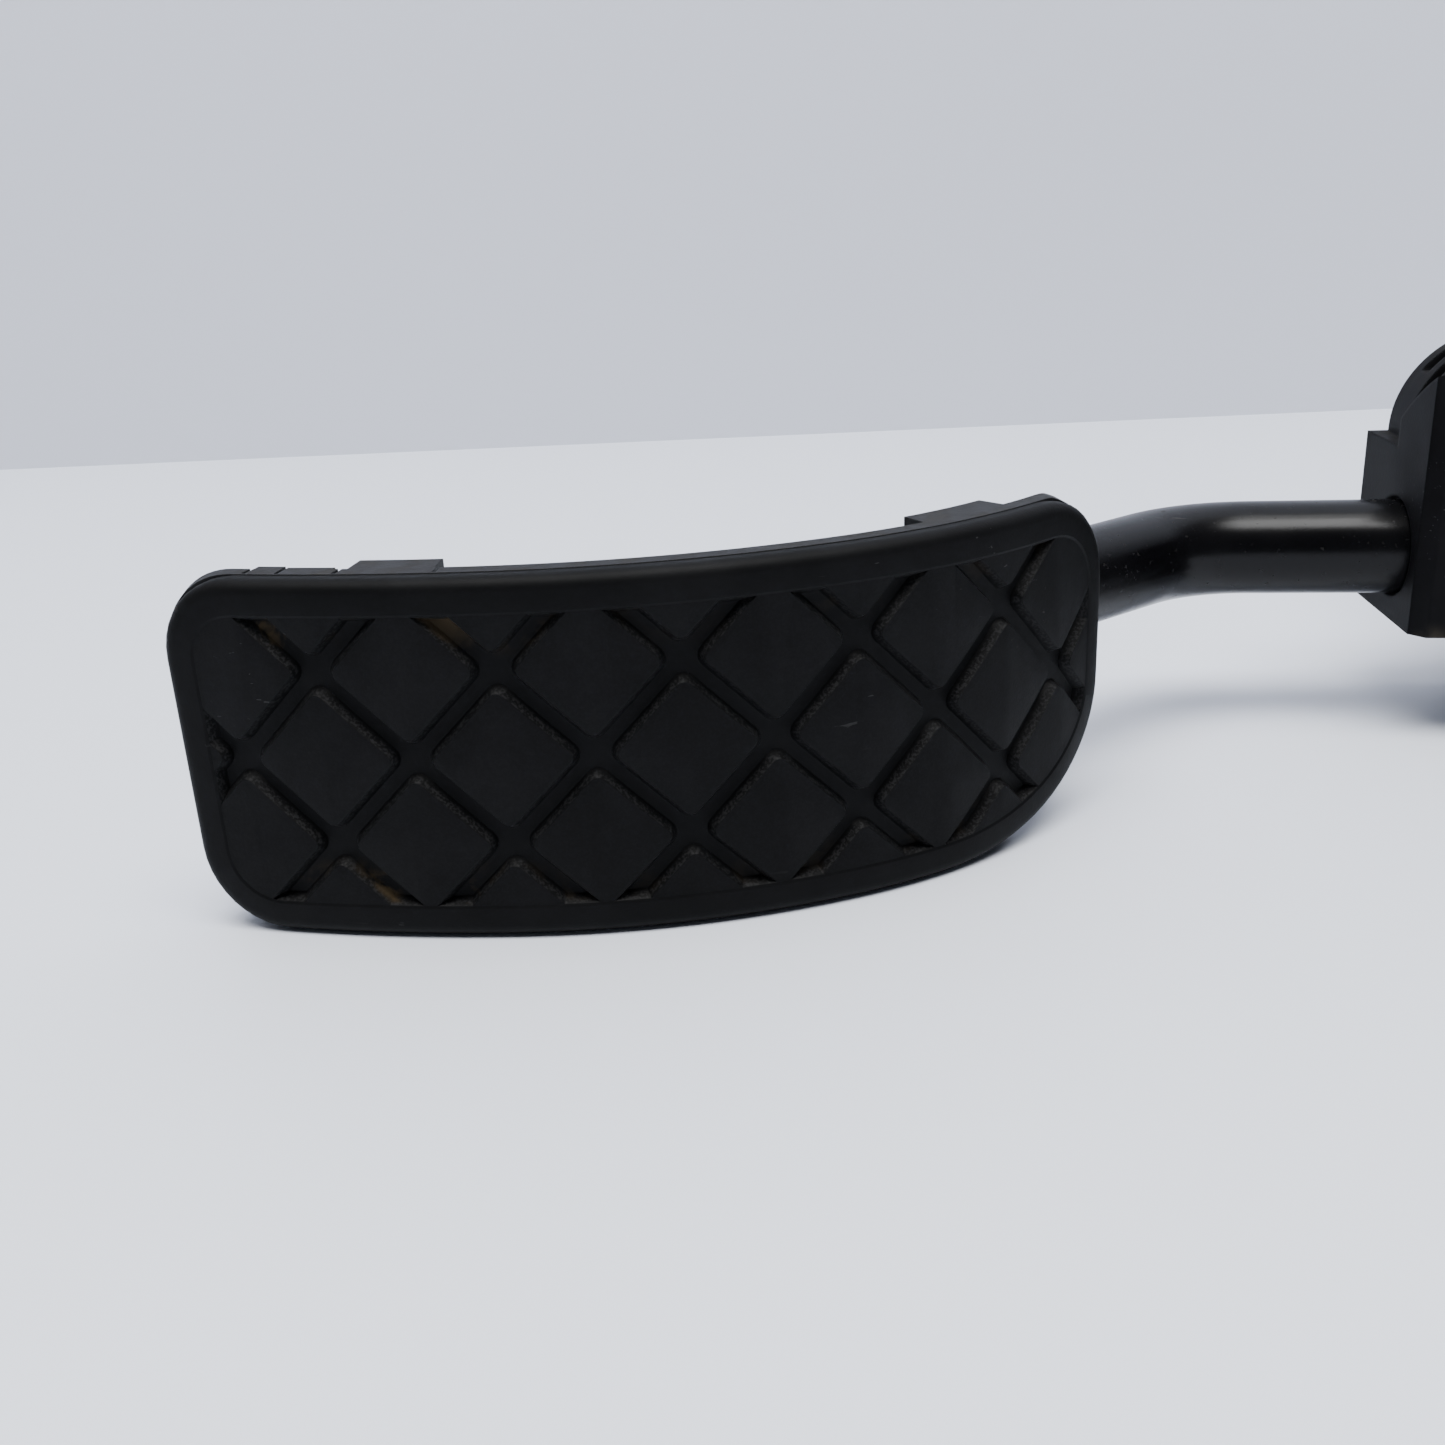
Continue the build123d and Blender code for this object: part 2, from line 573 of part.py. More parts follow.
def idle_stop():
    """Rubber block that the crank rests on with the pedal released."""
    middle = CRANK_TIP_Y - 3.5
    block = Box(14, 6, 14, align=(Align.MAX, Align.CENTER, Align.CENTER))
    return (Pos(CRANK_X[0] - STOP_GAP, middle, 0) * block) & walls(WALL, CHEEK_LOW, BODY_HIGH)


def full_stop():
    """Rubber block on the end of the mouth's wall, cut to the hub's back at full travel."""
    left, right = -45.5, -40.0
    turn = radians(ARM_ANGLE - FULL_TRAVEL)

    def hub_back(x):
        u = (x - PIVOT[0] + HUB_BACK * sin(turn)) / cos(turn)
        return PIVOT[1] + u * sin(turn) + HUB_BACK * cos(turn) + STOP_GAP / cos(turn)

    points = [(left, MOUTH_BACK), (left, hub_back(left)), (right, hub_back(right)), (right, MOUTH_BACK)]
    return extrude(make_face(Polyline(*points, close=True)), amount=8, both=True)


def coil(mean_r, wire_r, turns):
    """Compression spring along X between the cup and the housing wall."""
    length = SPRING_END - CUP_FACE - 2 * wire_r
    helix = Helix(pitch=length / turns, height=length, radius=mean_r)
    wire = sweep(Plane(helix @ 0, z_dir=helix % 0) * Circle(wire_r), path=helix, is_frenet=True)
    return Pos(CUP_FACE + wire_r, SPRING_Y, 0) * Rot(0, 90, 0) * wire


def spring_cup():
    """Rocking seat: hollowed to sit on the crank's nose, with a spigot for the springs."""
    face = NOSE_AT[0] + 3.0
    disc = Pos((face + CUP_FACE) / 2, SPRING_Y, 0) * Rot(0, 90, 0) * Cylinder(11, CUP_FACE - face)
    spigot = Pos(CUP_FACE + 3, SPRING_Y, 0) * Rot(0, 90, 0) * Cylinder(4.0, 6)
    return disc + spigot - Pos(*NOSE_AT, 0) * Cylinder(NOSE_R + 0.3, 40)


PARTS = {
    "rubber_pad": rubber_pad,
    "pad_carrier": pad_carrier,
    "socket_pin": socket_pin,
    "arm_tube": arm_tube,
    "tube_plug": tube_plug,
    "arm_hub": arm_hub,
    "hub_pin": hub_pin,
    "pivot_shaft": pivot_shaft,
    "retaining_ring": retaining_ring,
    "magnet_holder": magnet_holder,
    "magnet": magnet,
    "spring_cup": spring_cup,
    "outer_spring": lambda: coil(8.6, 1.0, 6.5),
    "inner_spring": lambda: coil(5.6, 0.8, 8.5),
    "lower_bush": lambda: bush(BODY_LOW, CHEEK_LOW, CHEEK_LOW + 0.3, 0.6),
    "upper_bush": lambda: bush(BODY_HIGH, LID_HIGH, BODY_HIGH - 0.3, 0.6),
    "lower_washer": lambda: friction_washer((CHEEK_LOW + HUB_LOW) / 2),
    "upper_washer": lambda: friction_washer((BODY_HIGH + BARREL_HIGH) / 2),
    "housing_body": housing_body,
    "housing_lid": housing_lid,
    "sensor_cover": sensor_cover,
    "sensor_seal": sensor_seal,
    "sensor_board": sensor_board,
    "hall_sensors": hall_sensors,
    "connector_pins": connector_pins,
    "lid_screws": lid_screws,
    "cover_screws": cover_screws,
    "mount_sleeves": mount_sleeves,
    "idle_stop": idle_stop,
    "full_stop": full_stop,
}

os.makedirs("parts", exist_ok=True)
for name, make in PARTS.items():
    shape = make()
    if isinstance(shape, list):
        shape = Compound(children=[s for item in shape for s in item.solids()])
    export_step(shape, f"parts/{name}.step")
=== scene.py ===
# An accelerator pedal module lying on its side on a pale table: ribbed rubber tread on a
# moulded carrier, a bent black tube arm, and a hinged hub in its bolted housing.
from math import cos, pi, radians, sin

import bmesh
import bpy
from mathutils import Matrix, Vector


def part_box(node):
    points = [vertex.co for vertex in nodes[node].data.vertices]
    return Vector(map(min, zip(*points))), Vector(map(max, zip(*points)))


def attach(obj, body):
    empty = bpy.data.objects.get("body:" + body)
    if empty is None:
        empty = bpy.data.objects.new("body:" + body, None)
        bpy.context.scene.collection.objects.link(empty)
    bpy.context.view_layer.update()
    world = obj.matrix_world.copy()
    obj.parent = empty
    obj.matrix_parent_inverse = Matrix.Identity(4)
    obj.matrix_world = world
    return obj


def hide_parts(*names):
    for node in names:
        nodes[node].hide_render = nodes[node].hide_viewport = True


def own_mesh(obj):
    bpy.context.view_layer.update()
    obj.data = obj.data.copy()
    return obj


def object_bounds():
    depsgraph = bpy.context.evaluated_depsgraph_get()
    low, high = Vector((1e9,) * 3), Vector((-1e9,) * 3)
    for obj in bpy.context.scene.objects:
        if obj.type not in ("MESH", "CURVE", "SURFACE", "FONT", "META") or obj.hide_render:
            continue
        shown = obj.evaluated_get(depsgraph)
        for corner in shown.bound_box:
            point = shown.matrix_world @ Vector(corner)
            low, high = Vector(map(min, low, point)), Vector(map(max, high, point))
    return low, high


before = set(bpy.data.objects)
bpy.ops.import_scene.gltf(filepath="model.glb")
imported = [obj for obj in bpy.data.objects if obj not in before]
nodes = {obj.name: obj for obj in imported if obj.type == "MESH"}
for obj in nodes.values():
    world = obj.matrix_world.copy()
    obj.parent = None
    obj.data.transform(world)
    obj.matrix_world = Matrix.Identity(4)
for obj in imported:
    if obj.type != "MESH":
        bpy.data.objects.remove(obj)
cad_box = [list(corner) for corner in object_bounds()]

# ---------------------------------------------------------------- viewpoint
# A camera on a low tripod in front of the tread, just above the table, looking a little down
# and to the right, so that the hub leaves the view on the right.
lens_mm = 36.3
sensor_mm = 36.0
eye = Vector((-0.2319, -0.2780, 0.0534))
to_right = Vector((0.98658, -0.15582, -0.04886))
to_top = Vector((0.1001, 0.34063, 0.93485))
camera = bpy.data.objects.new("camera", bpy.data.cameras.new("camera"))
camera.data.lens = lens_mm
camera.data.sensor_width = sensor_mm
camera.data.clip_start = 0.01
camera.matrix_world = Matrix.Translation(eye) @ Matrix(
    (to_right, to_top, to_right.cross(to_top))).transposed().to_4x4()
bpy.context.scene.collection.objects.link(camera)
bpy.context.scene.camera = camera


# ---------------------------------------------------------------- table and light
# A white laminate table against a pale wall, in the soft light of a big window overhead.
class Wire:
    """A node socket that takes part in arithmetic."""

    def __init__(self, finish, socket):
        self.finish = finish
        self.socket = socket

    def maths(self, operation, first, second=0.0):
        return self.finish.node("ShaderNodeMath", {"operation": operation}, {0: first, 1: second})

    def __add__(self, other):
        return self.maths("ADD", self, other)

    def __radd__(self, other):
        return self.maths("ADD", other, self)

    def __sub__(self, other):
        return self.maths("SUBTRACT", self, other)

    def __rsub__(self, other):
        return self.maths("SUBTRACT", other, self)

    def __mul__(self, other):
        return self.maths("MULTIPLY", self, other)

    def __rmul__(self, other):
        return self.maths("MULTIPLY", other, self)

    def __abs__(self):
        return self.maths("ABSOLUTE", self)

    def above(self, low, high):
        """0 below low, 1 above high, and smooth between them."""
        return self.finish.node("ShaderNodeMapRange", {"interpolation_type": "SMOOTHSTEP"},
                                {"Value": self, "From Min": low, "From Max": high})


class Finish:
    """A material and its one shader, with a way to add nodes to it."""

    def __init__(self, name, colour, roughness, **constants):
        self.material = bpy.data.materials.new(name)
        self.material.use_nodes = True
        self.tree = self.material.node_tree
        self.shader = self.tree.nodes["Principled BSDF"]
        self.put("Base Color", colour)
        self.put("Roughness", roughness)
        for socket, value in constants.items():
            self.put(socket.replace("_", " "), value)

    def node(self, kind, settings=None, inputs=None, output=0):
        made = self.tree.nodes.new(kind)
        for key, value in (settings or {}).items():
            setattr(made, key, value)
        for key, value in (inputs or {}).items():
            self.feed(made.inputs[key], value)
        return Wire(self, made.outputs[output])

    def feed(self, socket, value):
        if isinstance(value, Wire):
            self.tree.links.new(value.socket, socket)
        elif socket.type == "RGBA" and len(value) == 3:
            socket.default_value = (*value, 1.0)
        else:
            socket.default_value = value

    def put(self, socket, value):
        self.feed(self.shader.inputs[socket], value)

    def place(self):
        return self.node("ShaderNodeTexCoord", output="Object")

    def noise(self, size, detail=4.0, at=None, warp=0.0):
        """Noise whose lumps are about size metres across."""
        return self.node("ShaderNodeTexNoise", inputs={
            "Vector": at or self.place(), "Scale": 1.0 / size, "Detail": detail,
            "Distortion": warp})

    def blend(self, amount, below, above):
        """Mixes two colours: below where amount is 0, above where it is 1."""
        factor, first, second, result = 0, 6, 7, 2
        return self.node("ShaderNodeMix", {"data_type": "RGBA"},
                         {factor: amount, first: below, second: above}, output=result)

    def bump(self, height, depth, under=None):
        """Turns a height of 0 to 1 into relief depth metres deep."""
        inputs = {"Height": height, "Distance": depth, "Strength": 1.0}
        if under is not None:
            inputs["Normal"] = under
        return self.node("ShaderNodeBump", inputs=inputs)


def mesh_object(name, bm, finish):
    """Writes a bmesh to an object with one material."""
    mesh = bpy.data.meshes.new(name)
    bm.to_mesh(mesh)
    bm.free()
    made = bpy.data.objects.new(name, mesh)
    bpy.context.scene.collection.objects.link(made)
    mesh.materials.append(finish.material)
    return made


table_finish = Finish("table_laminate", (0.80, 0.825, 0.88), 0.45)
speck = table_finish.noise(0.9, 2.0).above(0.3, 0.7)
table_finish.put("Base Color", table_finish.blend(speck, (0.785, 0.82, 0.90), (0.805, 0.84, 0.92)))
wall_finish = Finish("wall_paint", (0.69, 0.715, 0.80), 0.8)
floor_z = cad_box[0][2]
wall_y = 0.256
half_room = 3.0
skew = Matrix.Rotation(radians(-10.7), 3, "Z")


def flat_sheet(name, tilt, at, finish):
    """A square 6 m sheet, tilted about X, put in place and turned with the room."""
    bm = bmesh.new()
    bmesh.ops.create_grid(bm, x_segments=2, y_segments=2, size=half_room)
    bmesh.ops.rotate(bm, verts=bm.verts, matrix=Matrix.Rotation(radians(tilt), 3, "X"))
    bmesh.ops.translate(bm, verts=bm.verts, vec=at)
    bmesh.ops.rotate(bm, verts=bm.verts, matrix=skew)
    return mesh_object(name, bm, finish)


flat_sheet("table", 0, (0.0, wall_y - half_room, floor_z), table_finish)
flat_sheet("wall", 90, (0.0, wall_y, floor_z + 2.0), wall_finish)


def soft_lamp(name, at, aim, size, power):
    """A rectangular soft light at a place, turned to face a point."""
    lamp = bpy.data.objects.new(name, bpy.data.lights.new(name, "AREA"))
    lamp.data.shape = "RECTANGLE"
    lamp.data.size, lamp.data.size_y = size
    lamp.data.energy = power
    lamp.location = at
    lamp.rotation_euler = (Vector(aim) - Vector(at)).to_track_quat("-Z", "Y").to_euler()
    bpy.context.scene.collection.objects.link(lamp)


middle = (-0.15, -0.08, -0.02)
soft_lamp("ceiling", (-0.20, -0.42, 1.25), middle, (1.3, 0.5), 20.0)
soft_lamp("skylight", (-0.3, -0.3, 2.2), (-0.2, 0.1, 0.0), (1.9, 1.9), 66.0)
world = bpy.data.worlds.new("room")
world.use_nodes = True
ambient = world.node_tree.nodes["Background"].inputs
ambient["Color"].default_value = (0.85, 0.9, 1.0, 1.0)
ambient["Strength"].default_value = 0.10
bpy.context.scene.world = world

# ---------------------------------------------------------------- tread
# The foot's rubber: one moulding, 142 by 51 mm, with a lattice of grooves that stops at a
# plain border. Six pegs on its back snap through the carrier.
mm = 0.001
pad_at = Vector((-212.0, -100.0, -17.4))
tip_end = -69.3
arm_end = 72.6
half_width = 25.3
tread_top = 1.8
tread_back = -1.4
middle_half, middle_radius = 24.0, 116.5
arm_radius, tip_radius = 84.5, 195.0


def along(s):
    """Point and slope of the pad's curve at arc length s: three arcs, tighter at the arm."""
    inner = max(-middle_half, min(middle_half, s))
    turn = inner / middle_radius
    radius = arm_radius if s > 0 else tip_radius
    end = turn + (s - inner) / radius
    x = middle_radius * sin(turn) + radius * (sin(end) - sin(turn))
    y = middle_radius * (1 - cos(turn)) + radius * (cos(turn) - cos(end))
    return x, y, end


def bend_on_curve(bm):
    """Wraps a flat piece, x along the pad, y across it and z outwards, onto the pad's curve."""
    for vert in bm.verts:
        s, across, rise = vert.co
        x, y, turn = along(s)
        bent = Vector((x + rise * sin(turn), y - rise * cos(turn), across))
        vert.co = (pad_at + bent) * mm


def slice_along(bm, step):
    """Cuts across the piece every few millimetres so that it can bend."""
    count = int((arm_end - tip_end) / step)
    for i in range(1, count):
        place = tip_end + i * (arm_end - tip_end) / count
        bmesh.ops.bisect_plane(bm, geom=bm.verts[:] + bm.edges[:] + bm.faces[:], dist=1e-4,
                               plane_co=(place, 0, 0), plane_no=(1, 0, 0))


def outline(bm, z):
    """The pad's flat outline as one face: a rectangle with four corners, the low one wide."""
    bmesh.ops.create_grid(bm, x_segments=1, y_segments=1, size=0.5)
    bmesh.ops.scale(bm, verts=bm.verts, vec=(arm_end - tip_end, 2 * half_width, 1))
    bmesh.ops.translate(bm, verts=bm.verts, vec=((arm_end + tip_end) / 2, 0, z))
    wide, tall = 35.5, 21.5
    slight = 0.01
    corners = [(1, -1, wide, 20), (-1, -1, 12.0, 10), (-1, 1, 11.0, 10), (1, 1, 15.0, 12)]
    for side, up, radius, steps in corners:
        corner = max(bm.verts, key=lambda v: side * v.co.x + up * v.co.y)
        bmesh.ops.bevel(bm, geom=[corner], offset=radius, segments=steps, profile=0.5,
                        affect="VERTICES", material=-1)
        if radius == wide:
            for vert in bm.verts:
                if vert.co.x > arm_end - wide - slight and vert.co.y < half_width - slight:
                    vert.co.y = (vert.co.y + half_width) * tall / wide - half_width


bm = bmesh.new()
outline(bm, tread_back)
lifted = bmesh.ops.extrude_face_region(bm, geom=bm.faces[:])["geom"]
bmesh.ops.translate(bm, verts=[v for v in lifted if isinstance(v, bmesh.types.BMVert)],
                    vec=(0, 0, tread_top - tread_back))
bmesh.ops.recalc_face_normals(bm, faces=bm.faces)
rim = [e for e in bm.edges if all(v.co.z > tread_top - 0.01 for v in e.verts)]
bmesh.ops.bevel(bm, geom=rim, offset=1.9, segments=5, profile=0.5, affect="EDGES",
                material=-1)
front = max(bm.faces, key=lambda f: f.calc_area() * (f.normal.z > 0.9))
border, border_step = 2.6, 0.18
bmesh.ops.inset_region(bm, faces=[front], thickness=border, use_even_offset=True)
bmesh.ops.inset_region(bm, faces=[front], thickness=0.35, depth=-border_step,
                       use_even_offset=True)
groove_wide = 3.5
pitch, pitch_across, lattice_rise = 24.0, 24.5, 0.65
field_level = tread_top - border_step


def groove_lines():
    """A point on each groove's middle line and the way across it, both sets in turn."""
    for sign in (-1, 1):
        normal = Vector((1, sign * pitch / pitch_across, 0)).normalized()
        for i in range(-5, 6):
            yield Vector(((i + 0.5) * pitch, lattice_rise, 0)), normal


def field_faces():
    """The flat faces inside the border."""
    return [f for f in bm.faces
            if abs(f.calc_center_median().z - field_level) < 1e-3 and f.normal.z > 0.9]


def in_groove(point):
    """True where a point of the flat tread lies between a groove's edges."""
    return any(abs((point - centre).xy.dot(normal.xy)) < groove_wide / 2 - 0.01
               for centre, normal in groove_lines())


field = [front]
for centre, normal in groove_lines():
    for edge in (-0.5, 0.5):
        parts = field + [e for f in field for e in f.edges] + [v for f in field for v in f.verts]
        bmesh.ops.bisect_plane(bm, geom=list(dict.fromkeys(parts)), dist=1e-4,
                               plane_co=centre + normal * edge * groove_wide, plane_no=normal)
        field = field_faces()
crossings = [v for v in bm.verts
             if len(v.link_edges) == 4 and all(f in field for f in v.link_faces)]
rounded = bmesh.ops.bevel(bm, geom=crossings, offset=1.1, segments=4, profile=0.5,
                          affect="VERTICES", material=-1)["faces"]
grooves = [f for f in field_faces() if f in rounded or in_groove(f.calc_center_median())]
bmesh.ops.inset_region(bm, faces=grooves, thickness=0.8, depth=-field_level,
                       use_even_offset=True)
field_half_long, field_half_wide = 68, 22
sharp = [e for e in bm.edges
         if len(e.link_faces) == 2 and e.calc_face_angle() > radians(25)
         and min(v.co.z for v in e.verts) > -0.1
         and max(abs(v.co.y) for v in e.verts) < field_half_wide
         and abs(e.verts[0].co.x) < field_half_long]
bmesh.ops.bevel(bm, geom=sharp, offset=0.32, segments=3, profile=0.5, affect="EDGES",
                clamp_overlap=True, material=-1)
stem_radius, barb_radius, point_radius = 2.35, 3.55, 2.7
for s, at in ((-52, 14), (-52, -14), (-14, 15), (-14, -15), (57, 12), (57, -12)):
    stem = bmesh.ops.create_cone(bm, cap_ends=True, segments=28, radius1=stem_radius,
                                 radius2=stem_radius, depth=2.2)["verts"]
    bmesh.ops.translate(bm, verts=stem, vec=(s, at, -2.3))
    head = bmesh.ops.create_cone(bm, cap_ends=True, segments=28, radius1=point_radius,
                                 radius2=barb_radius, depth=1.9)["verts"]
    bmesh.ops.translate(bm, verts=head, vec=(s, at, -4.3))
    brim = [e for e in dict.fromkeys(e for v in head for e in v.link_edges)
            if e.calc_face_angle(0.0) > radians(40)]
    bmesh.ops.bevel(bm, geom=brim, offset=0.35, segments=2, profile=0.5, affect="EDGES",
                    material=-1)
slice_along(bm, 2.6)
bmesh.ops.remove_doubles(bm, verts=bm.verts, dist=0.00005)
bmesh.ops.recalc_face_normals(bm, faces=bm.faces)
rise_layer = bm.verts.layers.float.new("rise")
flat_map = bm.loops.layers.uv.new("flat")
for vert in bm.verts:
    vert[rise_layer] = vert.co.z
for face in bm.faces:
    for loop in face.loops:
        loop[flat_map].uv = loop.vert.co.xy * mm
bend_on_curve(bm)
rubber = Finish("tread_rubber", (0.003, 0.003, 0.0033), 0.55, Specular_IOR_Level=0.09)
flat = rubber.node("ShaderNodeSeparateXYZ", inputs={
    0: rubber.node("ShaderNodeUVMap", {"uv_map": "flat"})})
across = Wire(rubber, flat.socket.node.outputs["Y"])
rise = rubber.node("ShaderNodeAttribute", {"attribute_name": "rise"}, output="Fac")
sunk = 1.0 - rise.above(0.1, 1.3)
mottle = rubber.noise(0.011, 5.0)
shade = rubber.blend(mottle.above(0.35, 0.7), (0.0018, 0.0019, 0.0021), (0.0032, 0.0033, 0.0036))
in_field = 1.0 - abs(across).above(0.0213, 0.0219)
film = sunk * in_field * rubber.noise(0.0045, 4.0).above(0.5, 0.8) * 0.12
shade = rubber.blend(film, shade, (0.008, 0.0072, 0.006))
slope = rise.above(0.15, 0.7) * (1.0 - rise.above(1.45, 1.66)) * in_field
scuffed = slope * rubber.noise(0.0004, 3.0).above(0.42, 0.62)
shade = rubber.blend(scuffed * 0.5, shade, (0.022, 0.022, 0.0225))
near_edge = abs(across).above(0.0135, 0.0205) * in_field
towards_tip = 1.0 - flat.above(-0.048, -0.005)
crumbs = rubber.noise(0.0035, 6.0, warp=0.6).above(0.46, 0.62)
lodged = crumbs * rubber.noise(0.016, 2.0).above(0.36, 0.52)
grit = (1.0 - rise.above(0.5, 1.5)) * near_edge * lodged * (towards_tip * 0.75 + 0.1)
shade = rubber.blend(grit, shade, (0.062, 0.044, 0.022))


def scratches(finish, turn, size, thin, share):
    """Sparse hairline marks: a noise stretched along one way, cut at its crests."""
    turned = finish.node("ShaderNodeMapping", inputs={
        "Vector": finish.place(), "Rotation": turn, "Scale": (1.0, thin, thin)})
    lines = finish.noise(size, 2.0, at=turned).above(1.0 - share, 1.0 - share + 0.03)
    return lines * finish.noise(size * 2.2, 1.0).above(0.5, 0.6)


marks = scratches(rubber, (0.0, radians(62), 0.0), 0.02, 28.0, 0.30) * rise.above(1.2, 1.6)
shade = rubber.blend(marks * 0.5, shade, (0.05, 0.05, 0.048))
rubber.put("Base Color", shade)
rubber.put("Roughness", 0.5 + rubber.noise(0.006, 3.0) * 0.14 + grit * 0.3)
coarse = rubber.bump(rubber.noise(0.0014, 3.0), 0.00003)
rubber.put("Normal", rubber.bump(rubber.noise(0.00035, 2.0), 0.000012, under=coarse))
tread = mesh_object("tread", bm, rubber)
tread.data.shade_smooth()
tread.data.set_sharp_from_angle(angle=radians(50))
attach(tread, "pedal")
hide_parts("rubber_pad")

# ---------------------------------------------------------------- carrier
# The tray that the rubber is pegged to: one black moulding with lugs on its long edges, ribs
# and a boxed sleeve for the tube on its back.
def dress(finish, *names):
    """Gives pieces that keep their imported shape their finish."""
    for name in names:
        nodes[name].data.materials.clear()
        nodes[name].data.materials.append(finish.material)


def moulded(name, dark, light, roughness, grain, soften, specular=0.22):
    """Fine-grained moulded plastic: faint flow mottling, settled dust, softened edges."""
    finish = Finish(name, dark, roughness, Specular_IOR_Level=specular)
    flow = finish.noise(0.017, 4.0, warp=0.4).above(0.35, 0.7)
    shade = finish.blend(flow, dark, light)
    facing = finish.node("ShaderNodeSeparateXYZ", inputs={
        0: finish.node("ShaderNodeNewGeometry", output="Normal")}, output="Z")
    dust = facing.above(0.2, 1.0) * finish.noise(0.0035, 6.0).above(0.42, 0.72)
    shade = finish.blend(dust * 0.3, shade, (0.05, 0.048, 0.043))
    marks = scratches(finish, (radians(20), radians(35), radians(10)), 0.012, 22.0, 0.31)
    shade = finish.blend(marks * 0.4, shade, (0.07, 0.07, 0.072))
    finish.put("Base Color", shade)
    finish.put("Roughness", roughness + flow * 0.08 + dust * 0.2)
    rounded = finish.node("ShaderNodeBevel", {"samples": 4}, {"Radius": soften})
    finish.put("Normal", finish.bump(finish.noise(grain, 2.0), grain * 0.06, under=rounded))
    return finish, shade


carrier_plastic, _ = moulded("carrier_plastic", (0.008, 0.008, 0.0092), (0.012, 0.012, 0.0136),
                             0.54, 0.0005, 0.0003, specular=0.14)
dress(carrier_plastic, "pad_carrier")

# ---------------------------------------------------------------- arm
# A 16 mm steel tube bent once, dipped in satin black paint, with a plastic plug in its open
# end and a roll pin through each end.
paint = Finish("tube_paint", (0.0022, 0.0022, 0.0027), 0.22, Specular_IOR_Level=0.17)
flow = paint.noise(0.02, 4.0).above(0.3, 0.7)
shade = paint.blend(flow, (0.0017, 0.0017, 0.0021), (0.0028, 0.0028, 0.0033))
dust = paint.noise(0.0011, 4.0).above(0.66, 0.74)
shade = paint.blend(dust * 0.2, shade, (0.04, 0.038, 0.034))
chips = paint.noise(0.006, 3.0).above(0.73, 0.745)
shade = paint.blend(chips * 0.6, shade, (0.02, 0.013, 0.010))
marks = scratches(paint, (0.0, radians(90), radians(-20)), 0.018, 30.0, 0.31)
shade = paint.blend(marks * 0.35, shade, (0.06, 0.06, 0.062))
paint.put("Base Color", shade)
paint.put("Roughness", 0.21 + flow * 0.06 + dust * 0.3 + marks * 0.15)
ripple = paint.bump(paint.noise(0.004, 3.0), 0.00002)
paint.put("Normal", paint.bump(paint.noise(0.0007, 2.0), 0.000006, under=ripple))
dress(paint, "arm_tube")
plug_plastic, _ = moulded("plug_plastic", (0.014, 0.014, 0.014), (0.02, 0.02, 0.02),
                          0.5, 0.0005, 0.0003)
dress(plug_plastic, "tube_plug")


def metal(name, dark, light, roughness, turn, stretch, wear=(0.16, 0.10, 0.06)):
    """Drawn, rolled or turned metal: fine lines one way, a few dull and tarnished patches."""
    finish = Finish(name, light, roughness, Metallic=1.0)
    lined = finish.node("ShaderNodeMapping", inputs={
        "Vector": finish.place(), "Rotation": turn, "Scale": stretch})
    lines = finish.noise(0.0008, 3.0, at=lined)
    shade = finish.blend(lines.above(0.3, 0.7), dark, light)
    dull = finish.noise(0.006, 5.0).above(0.55, 0.75)
    finish.put("Base Color", finish.blend(dull * 0.35, shade, wear))
    finish.put("Roughness", roughness + dull * 0.25 + lines * 0.1)
    finish.put("Normal", finish.bump(lines, 0.000004))
    return finish


dress(metal("pin_steel", (0.30, 0.30, 0.31), (0.46, 0.46, 0.47), 0.34,
            (0, 0, 0), (3.0, 3.0, 0.1)), "socket_pin", "hub_pin")

# ---------------------------------------------------------------- hub
# The lever on the shaft: a dark grey glass-filled moulding that clasps the tube, with three
# fins on its back half, pockets below and a crank for the springs. Chalky smears on its front.
hub_plastic, shade = moulded("hub_plastic", (0.0032, 0.0032, 0.0038), (0.0055, 0.0055, 0.0064),
                             0.62, 0.00045, 0.0008, specular=0.07)
smear_at = hub_plastic.node("ShaderNodeMapping", inputs={
    "Vector": hub_plastic.place(), "Location": (0.0829, 0.0671, 0.0178),
    "Scale": (1.0, 1.0, 0.6)})
far = hub_plastic.node("ShaderNodeVectorMath", {"operation": "LENGTH"},
                       {0: smear_at}, output="Value")
smear = (1.0 - far.above(0.0015, 0.005)) * hub_plastic.noise(0.006, 4.0, warp=0.5).above(0.35, 0.6)
hub_plastic.put("Base Color", hub_plastic.blend(smear * 0.6, shade, (0.10, 0.085, 0.06)))
dress(hub_plastic, "arm_hub")

# ---------------------------------------------------------------- shaft and sensor rotor
# A ground steel shaft pressed through the hub, held by a ring above the lid, with a pale
# plastic cup and a disc magnet on its lower end.
round_lines = (2.0, 2.0, 0.08)
dress(metal("shaft_steel", (0.44, 0.44, 0.45), (0.60, 0.60, 0.61), 0.24,
            (0, 0, 0), round_lines), "pivot_shaft")
dress(metal("ring_steel", (0.16, 0.16, 0.17), (0.28, 0.28, 0.29), 0.36,
            (0, 0, 0), round_lines), "retaining_ring")
dress(metal("magnet_nickel", (0.50, 0.49, 0.46), (0.62, 0.61, 0.58), 0.22,
            (0, 0, 0), round_lines), "magnet")
rotor_plastic, _ = moulded("rotor_plastic", (0.46, 0.45, 0.40), (0.54, 0.53, 0.48),
                           0.5, 0.0006, 0.0002)
dress(rotor_plastic, "magnet_holder")

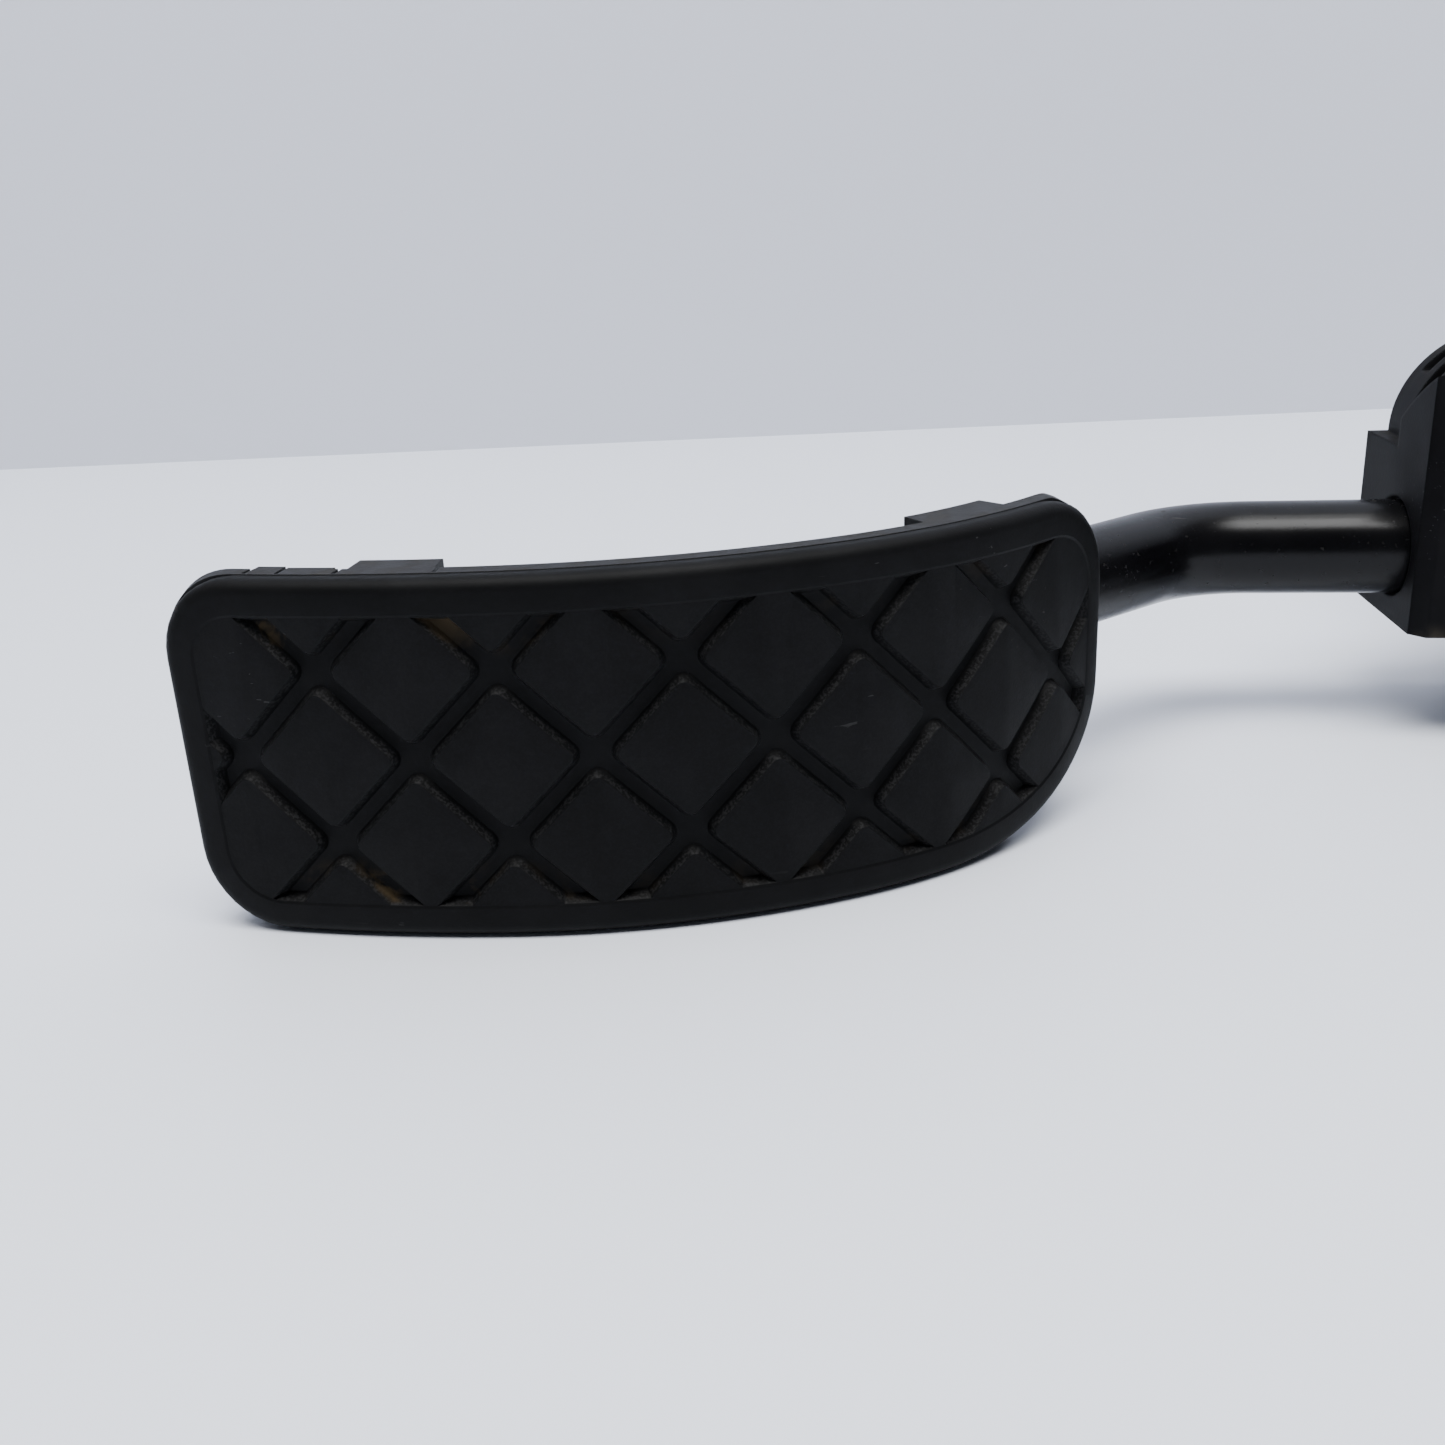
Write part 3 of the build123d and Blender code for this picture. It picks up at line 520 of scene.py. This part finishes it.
# ---------------------------------------------------------------- bearings
# Flanged bushes of low-friction plastic in the cheeks, with thin stamped steel washers that
# rub on the hub's ends.
bush_plastic, _ = moulded("bush_plastic", (0.40, 0.30, 0.16), (0.48, 0.37, 0.21),
                          0.45, 0.0006, 0.0002)
dress(bush_plastic, "lower_bush", "upper_bush")
dress(metal("washer_steel", (0.34, 0.34, 0.34), (0.48, 0.48, 0.48), 0.32,
            (0, 0, radians(30)), (0.2, 3.0, 3.0)), "lower_washer", "upper_washer")

# ---------------------------------------------------------------- springs and their cup
# Two nested springs wound from drawn wire with closed ends, oiled dark, between the housing's
# wall and a rocking cup of pale acetal.
spring_steel = metal("spring_steel", (0.10, 0.10, 0.11), (0.20, 0.20, 0.21), 0.3,
                     (0, 0, 0), (1.0, 1.0, 1.0))
steps_a_turn = 30


def wound(name, node, wire, open_turns):
    """A compression spring along X: a circle carried round the axis, one closed turn each end."""
    low, high = (Vector(corner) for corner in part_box(node))
    axis_at = (low + high) / 2
    radius = (high.z - low.z) / 2 - wire
    closed = 2.1 * wire
    run = high.x - low.x - 2 * wire - 2 * closed
    bm = bmesh.new()
    bmesh.ops.create_circle(bm, segments=12, radius=wire)
    bmesh.ops.translate(bm, verts=bm.verts, vec=(low.x + wire, axis_at.y + radius, 0.0))
    ring = bm.verts[:] + bm.edges[:]
    for turns, length in ((1.0, closed), (open_turns, run), (1.0, closed)):
        steps = int(turns * steps_a_turn)
        ring = bmesh.ops.spin(bm, geom=ring, cent=(0.0, axis_at.y, 0.0), axis=(1, 0, 0),
                              dvec=(length / steps, 0, 0), angle=2 * pi * turns,
                              steps=steps)["geom_last"]
    bmesh.ops.holes_fill(bm, edges=[e for e in bm.edges if e.is_boundary], sides=12)
    bmesh.ops.recalc_face_normals(bm, faces=bm.faces)
    made = mesh_object(name, bm, spring_steel)
    made.data.shade_smooth()
    made.data.set_sharp_from_angle(angle=radians(50))
    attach(made, "housing")
    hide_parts(node)
    length = high.x - low.x
    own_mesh(made)


wound("outer_coil", "outer_spring", 1.0 * mm, 4.5)
wound("inner_coil", "inner_spring", 0.8 * mm, 6.5)
cup_plastic, _ = moulded("cup_plastic", (0.50, 0.48, 0.42), (0.58, 0.56, 0.50),
                         0.4, 0.0006, 0.0003)
dress(cup_plastic, "spring_cup")

# ---------------------------------------------------------------- housing
# Black glass-filled mouldings: the box with its bolting flange and connector shroud, the lid
# with the upper bearing, and the sensor's cover underneath.
housing_plastic, _ = moulded("housing_plastic", (0.012, 0.012, 0.013), (0.02, 0.02, 0.021),
                             0.48, 0.0007, 0.0005)
dress(housing_plastic, "housing_body", "housing_lid")
cover_plastic, _ = moulded("cover_plastic", (0.010, 0.010, 0.0105), (0.016, 0.016, 0.017),
                           0.4, 0.0004, 0.0004)
dress(cover_plastic, "sensor_cover")

# ---------------------------------------------------------------- seal and stops
# Moulded rubber: a red ring under the sensor's cover and two black blocks at the ends of the
# pedal's travel.
for name, dark, light, worn in (("seal_rubber", (0.10, 0.018, 0.012), (0.14, 0.026, 0.017),
                                 ["sensor_seal"]),
                                ("stop_rubber", (0.010, 0.010, 0.010), (0.018, 0.018, 0.018),
                                 ["idle_stop", "full_stop"])):
    soft_rubber, _ = moulded(name, dark, light, 0.62, 0.0006, 0.0004, specular=0.25)
    dress(soft_rubber, *worn)

# ---------------------------------------------------------------- sensor electronics
# A green laminate board with black chips, and six tinned brass blades in the connector.
board = Finish("board_laminate", (0.012, 0.075, 0.03), 0.35, Coat_Weight=0.4)
weave = board.node("ShaderNodeTexWave", {"bands_direction": "DIAGONAL"},
                   {"Vector": board.place(), "Scale": 260.0, "Distortion": 1.5})
cloudy = board.noise(0.008, 4.0).above(0.4, 0.65)
board.put("Base Color", board.blend(cloudy, (0.010, 0.065, 0.026), (0.015, 0.09, 0.038)))
board.put("Normal", board.bump(weave, 0.00001))
dress(board, "sensor_board")
chip_plastic, _ = moulded("chip_plastic", (0.012, 0.012, 0.012), (0.018, 0.018, 0.018),
                          0.55, 0.0002, 0.0001)
dress(chip_plastic, "hall_sensors")
dress(metal("pin_brass", (0.50, 0.40, 0.20), (0.64, 0.53, 0.30), 0.28,
            (0, 0, 0), (0.1, 3.0, 3.0), wear=(0.28, 0.18, 0.08)), "connector_pins")

# ---------------------------------------------------------------- fastenings
# Zinc-plated screws for the lid and the cover, and yellow-passivated steel sleeves that take
# the load of the three mounting bolts.
dress(metal("screw_zinc", (0.36, 0.36, 0.35), (0.50, 0.50, 0.48), 0.32,
            (0, 0, 0), (1.0, 1.0, 1.0)), "lid_screws", "cover_screws")
dress(metal("sleeve_zinc", (0.42, 0.36, 0.22), (0.56, 0.49, 0.32), 0.34,
            (radians(90), 0, 0), round_lines, wear=(0.24, 0.20, 0.12)), "mount_sleeves")
